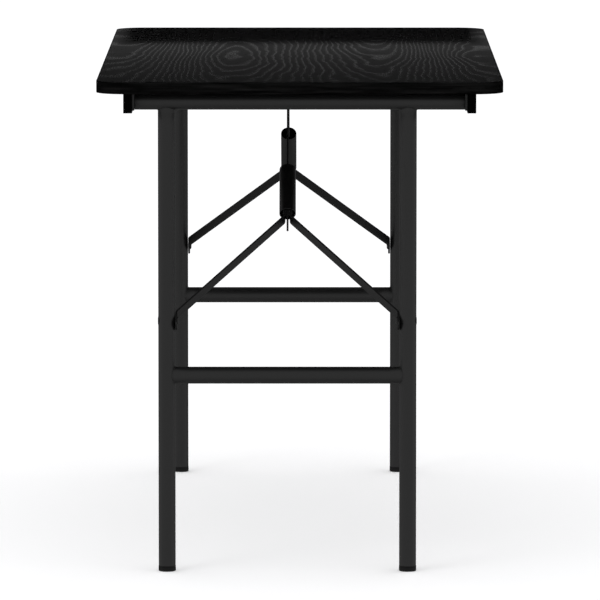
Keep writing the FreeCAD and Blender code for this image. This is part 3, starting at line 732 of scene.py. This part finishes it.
def rivet_outline(shank, length, head, thick, both=False):
    """Half outline of a rivet that lies on Z: its shank from 0 to length, its head above."""
    top = [(shank, length), (head, length), (head, length + thick * 0.35),
           (head * 0.86, length + thick * 0.72), (head * 0.6, length + thick * 0.93),
           (0, length + thick)]
    if not both:
        return [(0, 0), (shank, 0)] + top
    return [(r, length - z) for r, z in reversed(top)] + top


def leg_rivets(end):
    node = f"{end}_leg_rivets"
    low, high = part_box(node)
    centre = middle(node)
    head = (high.z - low.z) / 2
    thick = high.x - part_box(f"{end}_leg_right")[1].x
    bm = bmesh.new()
    for sign in SIDES.values():
        shape = turned(rivet_outline(head / 2, 2 * TUBE_R, head, thick), segments=40)
        reach = (high.x - low.x) / 2 - thick - 2 * TUBE_R
        aim(shape, (centre.x + sign * reach, centre.y, centre.z), (sign, 0, 0))
        join(bm, shape)
    return finished(f"{node}_domed", bm, node)


def arm_rivets(end):
    node = f"{end}_arm_rivets"
    low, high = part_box(node)
    centre = middle(node)
    head = (high.z - low.z) / 2
    bm = bmesh.new()
    for sign in SIDES.values():
        shape = turned(rivet_outline(head / 2, BAR_THICK, head, ARM_HEAD_THICK), segments=40)
        aim(shape, (centre.x + sign * (high.x - low.x) / 2, centre.y, centre.z), (-sign, 0, 0))
        join(bm, shape)
    return finished(f"{node}_domed", bm, node)


def elbow_rivet(end):
    node = f"{end}_elbow_rivet"
    low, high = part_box(node)
    centre = middle(node)
    length = (high.x - low.x) - 2 * ELBOW_HEAD_THICK
    outline = rivet_outline(3 * MM, length, 5 * MM, ELBOW_HEAD_THICK, both=True)
    bm = turned(outline, segments=40)
    aim(bm, (centre.x - length / 2, centre.y, centre.z), (1, 0, 0))
    return finished(f"{node}_domed", bm, node)


for end in ENDS:
    leg_rivets(end)
    arm_rivets(end)
    elbow_rivet(end)

# %% Lock sleeves
SLEEVE_WALL = 1.2 * MM


def lock_sleeve(end):
    node = f"{end}_lock_sleeve"
    low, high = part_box(node)
    centre = middle(node)
    slope = next(Vector(j["axis"]) for j in frame["joints"] if j["name"] == f"{end}_sleeve_slide")
    radius = (high.x - low.x) / 2
    length = ((high.z - low.z) - 2 * radius * abs(slope.y)) / slope.z
    inner = radius - SLEEVE_WALL
    lip = 0.6 * MM
    outline = [(inner, lip)] + arc((inner + lip, lip), lip, 180, 360, 8)[1:]
    outline += [(radius, lip + 0.0001), (radius, length - lip)]
    outline += arc((inner + lip, length - lip), lip, 0, 180, 8)[1:]
    bm = turned(outline, closed=True)
    aim(bm, centre - slope * length / 2, slope)
    print(node, "length", round(length, 4))
    return finished(f"{node}_tube", bm, node, finish=SLEEVE_PLASTIC)


for end in ENDS:
    lock_sleeve(end)

# %% [markdown]
# ## Lights
# Black things are seen by what they mirror. A pale dome round the table gives the frame its
# even grey, and where a face turns up to the dark underside of the top it stays black. The dome
# is linked to the frame alone. What the top mirrors is a card behind it: dark below, brightest
# at the height of a hand's width, and fading upwards.

# %% The dome for the frame
DOME_LEVEL = 0.62
DOME_BEHIND = 0.25  # share of that level behind the table
DOME_BELOW = 0.5  # and straight below it


def dome_finish():
    material, start, shader = new_material("dome", Base_Color=(0, 0, 0, 1),
                                           Specular_IOR_Level=0.0, Emission_Strength=DOME_LEVEL)
    axes = start.add("ShaderNodeSeparateXYZ", {0: position(start)})
    along, up = (Value(start.tree, axes.socket.node.outputs[i]) for i in (1, 2))
    behind = along.add("ShaderNodeMapRange", {"Value": along, 1: 1.0, 2: 5.5, 3: 1.0,
                                              4: DOME_BEHIND})
    above = up.add("ShaderNodeMapRange", {"Value": up, 1: 6.5, 2: 7.8, 3: 1.0, 4: 0.0})
    below = up.add("ShaderNodeMapRange", {"Value": up, 1: -7.4, 2: -3.0, 3: DOME_BELOW, 4: 1.0})
    level = behind * above * below
    feed(shader, Emission_Color=level.mixed((0, 0, 0, 1), (1, 1, 1, 1)))
    material.cycles.emission_sampling = "NONE"
    return material


bm = bmesh.new()
bmesh.ops.create_uvsphere(bm, u_segments=48, v_segments=24, radius=8)
dome_mesh = bpy.data.meshes.new("dome")
bm.to_mesh(dome_mesh)
bm.free()
dome = bpy.data.objects.new("dome", dome_mesh)
dome_mesh.materials.append(dome_finish())
scene.collection.objects.link(dome)
dome.visible_camera = dome.visible_diffuse = dome.visible_shadow = False
mirroring = bpy.data.collections.new("what_mirrors_the_dome")
for thing in scene.objects:
    slots = [slot.material for slot in thing.material_slots]
    if slots and not {LAMINATE, EDGE_BAND, floor_paint} & set(slots):
        if "rail_plug" not in thing.name and thing is not dome:
            mirroring.objects.link(thing)
dome.light_linking.receiver_collection = mirroring

# %% The card for the top
CARD_Y = 0.9096
CARD_HEIGHT = 0.30
DARK_HALF_WIDTH = 0.285  # the lower part of the card is dark this far from the middle
card_place = Matrix.Translation((0, CARD_Y, cad_high.z + CARD_HEIGHT / 2))
card = flat_quad("sheen_card", 3.0, CARD_HEIGHT,
                 card_place @ Matrix.Rotation(math.radians(90), 4, "X"))
card.visible_camera = card.visible_diffuse = card.visible_shadow = False


def card_finish():
    material, start, shader = new_material("sheen_card", Base_Color=(0, 0, 0, 1),
                                           Specular_IOR_Level=0.0, Emission_Strength=0.078)
    axes = start.add("ShaderNodeSeparateXYZ", {0: position(start)})
    across, up = (Value(start.tree, axes.socket.node.outputs[i]) for i in (0, 2))
    height = (up - cad_high.z) / CARD_HEIGHT
    fade = height.add("ShaderNodeValToRGB", {"Fac": height}, {"stops": (
        (0.0, 1.0), (0.175, 1.0), (0.25, 0.56), (0.377, 0.19), (0.55, 0.06), (1.0, 0.03))})
    rise = height.add("ShaderNodeMapRange", {"Value": height, 1: 0.142, 2: 0.171},
                      {"interpolation_type": "SMOOTHSTEP"})
    offset = across.math("ABSOLUTE", across)
    side = offset.add("ShaderNodeMapRange", {"Value": offset, 1: DARK_HALF_WIDTH,
                                             2: DARK_HALF_WIDTH + 0.03})
    shape = rise.math("MAXIMUM", rise, side)
    level = fade * shape
    feed(shader, Emission_Color=level.mixed((0, 0, 0, 1), (1, 1, 1, 1)))
    return material


card.data.materials.append(card_finish())

# %% A soft key light


def area_light(name, location, target, size, power):
    data = bpy.data.lights.new(name, "AREA")
    data.shape = "RECTANGLE"
    data.size, data.size_y = size
    data.energy = power
    light = bpy.data.objects.new(name, data)
    light.location = location
    aim_at = (Vector(target) - Vector(location)).to_track_quat("-Z", "Y")
    light.rotation_euler = aim_at.to_euler()
    light.visible_glossy = False
    scene.collection.objects.link(light)
    return light


area_light("key", (-4.0, -5.0, 3.2), (0, 0, 0.4), (2.5, 2.5), 60)

# %% [markdown]
# The card only works from the front. From the other sides the laminate mirrors three broad and
# faint lights, which light nothing else.

# %% Broad lights for the other sides
BROAD_POWER = 22
top_only = bpy.data.collections.new("what_mirrors_the_broad_lights")
for thing in scene.objects:
    if LAMINATE in [slot.material for slot in thing.material_slots]:
        top_only.objects.link(thing)
for name, place in (("left", (-6, 0)), ("front", (0, -6)), ("right", (6, 0))):
    light = area_light(f"broad_{name}", (*place, 2.6), (0, 0, 0.9), (12, 5), BROAD_POWER)
    light.visible_glossy = True
    light.visible_camera = False
    light.light_linking.receiver_collection = top_only
